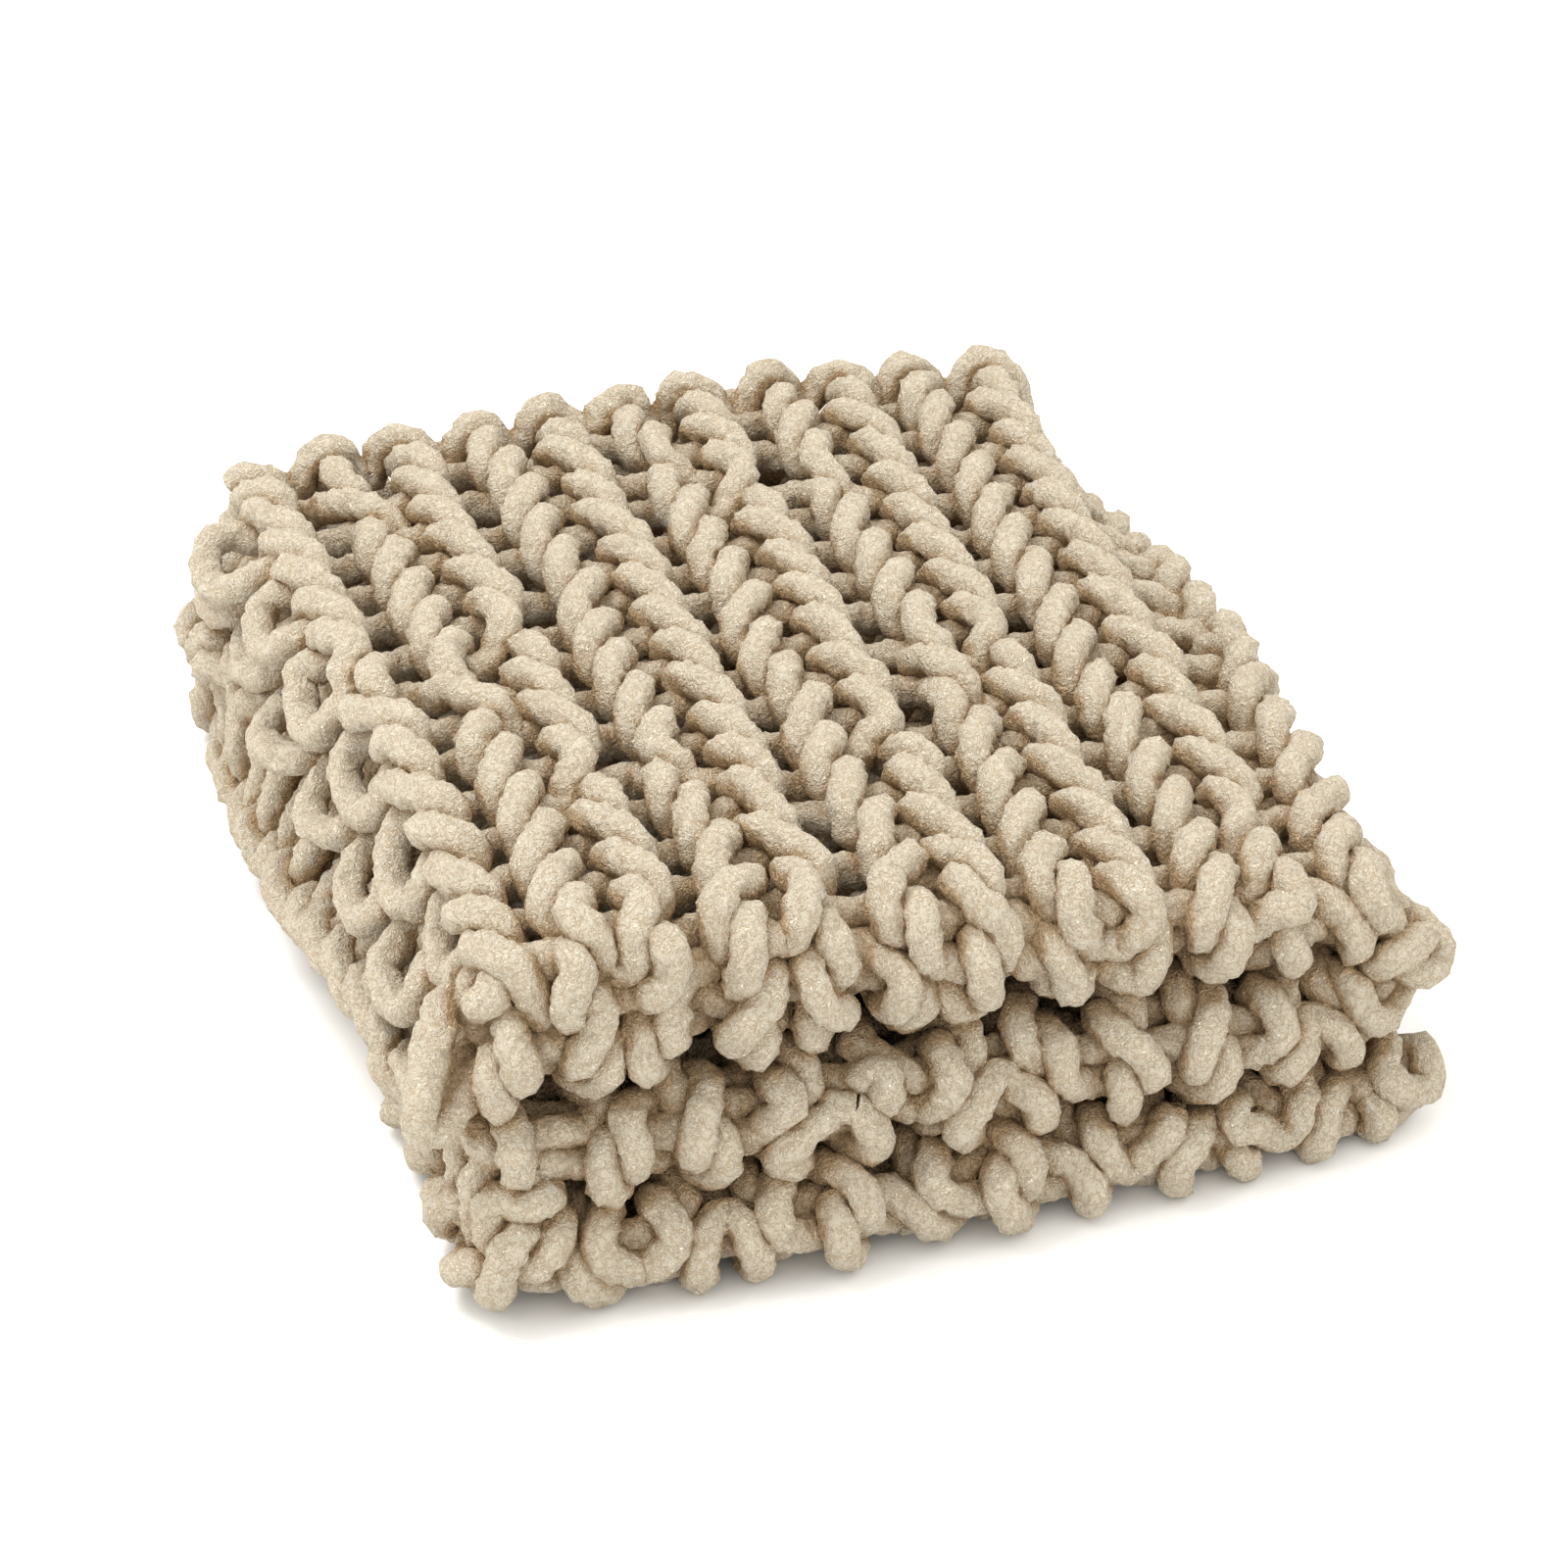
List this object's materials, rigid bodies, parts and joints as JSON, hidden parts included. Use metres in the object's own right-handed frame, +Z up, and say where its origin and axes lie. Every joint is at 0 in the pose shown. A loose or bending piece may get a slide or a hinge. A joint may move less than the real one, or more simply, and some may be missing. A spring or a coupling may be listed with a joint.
{
  "type": "chunky knit blanket",
  "caption": "Chunky hand-knit throw folded into a thick rectangular stack, with raised stitches, rounded folds and open knitted edges.",
  "frame": {"origin": "middle of the folded footprint, on the surface that the blanket lies on", "axes": "+Z up, -Y towards the closed front fold, +X towards the closed fold of the top level"},
  "size_m": [0.477, 0.5816, 0.1872],
  "materials": {
    "chenille_yarn": "matt velvety chenille pile, warm oatmeal"
  },
  "bodies": {
    "root": {"knit_blanket": "chenille_yarn"}
  },
  "joints": []
}
